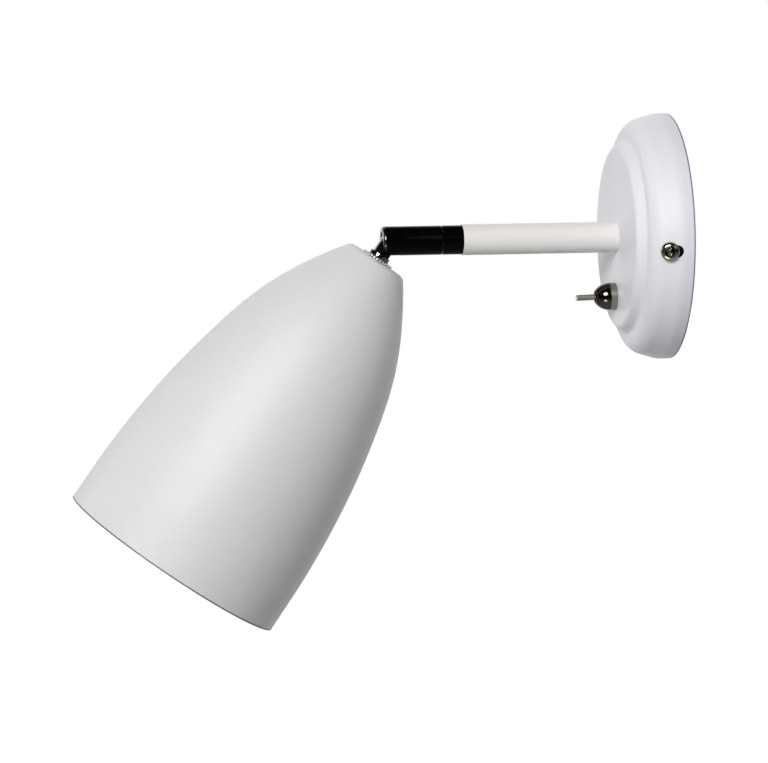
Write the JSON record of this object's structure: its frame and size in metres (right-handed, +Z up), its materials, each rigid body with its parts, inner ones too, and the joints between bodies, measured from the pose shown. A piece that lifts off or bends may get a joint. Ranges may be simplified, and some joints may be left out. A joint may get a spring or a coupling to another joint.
{
  "type": "wall reading lamp",
  "caption": "White wall reading lamp: round wall cup with toggle switch, straight arm, black swivel knuckle and a tilting bell shade over a screw-in lamp.",
  "frame": {"origin": "centre of the wall cup on the wall plane", "axes": "+Y into the wall, along the arm's axis; +Z up; the arm reaches out along -Y; +X is the side the picture was taken from"},
  "size_m": [0.124, 0.292, 0.2483],
  "materials": {
    "zinc_steel": "satin",
    "black_rubber": "matte",
    "brass": "satin",
    "white_powder_coat": "satin",
    "arm_powder_coat": "satin",
    "black_nickel": "polished",
    "clear_white_plastic": "matte",
    "black_plastic": "matte",
    "nickel": "polished",
    "black_gloss": "gloss",
    "shade_white": "satin",
    "white_plastic": "satin",
    "dark_glass": "gloss",
    "opal_plastic": "satin",
    "board_aluminium": "satin",
    "chip_yellow": "satin",
    "brown_lead": "satin",
    "blue_lead": "satin",
    "black_lead": "satin",
    "green_lead": "satin"
  },
  "bodies": {
    "wall_unit": {"arm_foot_bush": "zinc_steel", "arm_lock_nut": "zinc_steel", "arm_lock_washer": "zinc_steel", "arm_nipple": "zinc_steel", "arm_tube": "arm_powder_coat", "cable_grommet": "black_rubber", "collar": "black_gloss", "cup_side_screws": "black_nickel", "disc_spring": "zinc_steel", "earth_lead": "green_lead", "earth_screw": "brass", "live_lead": "brown_lead", "neutral_lead": "blue_lead", "stop_pin": "zinc_steel", "switch_body": "black_plastic", "switch_bush": "nickel", "switch_cap_nut": "black_nickel", "switch_inner_nut": "zinc_steel", "switch_lock_washer": "zinc_steel", "switch_lugs": "brass", "switched_lead": "black_lead", "terminal_housing": "clear_white_plastic", "terminal_inserts": "brass", "terminal_screws": "zinc_steel", "wall_bracket": "zinc_steel", "wall_cup": "white_powder_coat"},
    "swivel": {"swivel_knuckle": "black_gloss", "swivel_spindle": "zinc_steel", "retaining_ring": "zinc_steel", "pivot_screw": "black_gloss", "friction_washers": "black_plastic"},
    "head": {"tongue": "black_nickel", "toothed_washer": "nickel", "shade": "shade_white", "shade_inner_washer": "zinc_steel", "shade_lock_nut": "zinc_steel", "lampholder_cap": "white_plastic", "lampholder_body": "white_plastic", "lampholder_shell": "brass", "lampholder_centre_contact": "brass", "lampholder_screws": "brass", "lamp_screw_cap": "nickel", "lamp_cap_insulator": "dark_glass", "lamp_centre_contact": "brass", "lamp_housing": "white_plastic", "lamp_globe": "opal_plastic", "led_board": "board_aluminium", "led_chips": "chip_yellow", "head_live_lead": "brown_lead", "head_neutral_lead": "blue_lead"},
    "lever": {"toggle_lever": "nickel"}
  },
  "joints": [
    {"name": "knuckle_swivel", "type": "hinge", "parent": "wall_unit", "child": "swivel", "pos_m": [0, -0.1121, 0], "axis": [0, 1, 0], "range_deg": [-170, 170]},
    {"name": "shade_tilt", "type": "hinge", "parent": "swivel", "child": "head", "pos_m": [0, -0.1373, 0], "axis": [1, 0, 0], "range_deg": [-55.5, 34.5]},
    {"name": "toggle_throw", "type": "hinge", "parent": "wall_unit", "child": "lever", "pos_m": [0, -0.0305, -0.0293], "axis": [0, 0, -1], "range_deg": [0, 24]}
  ]
}
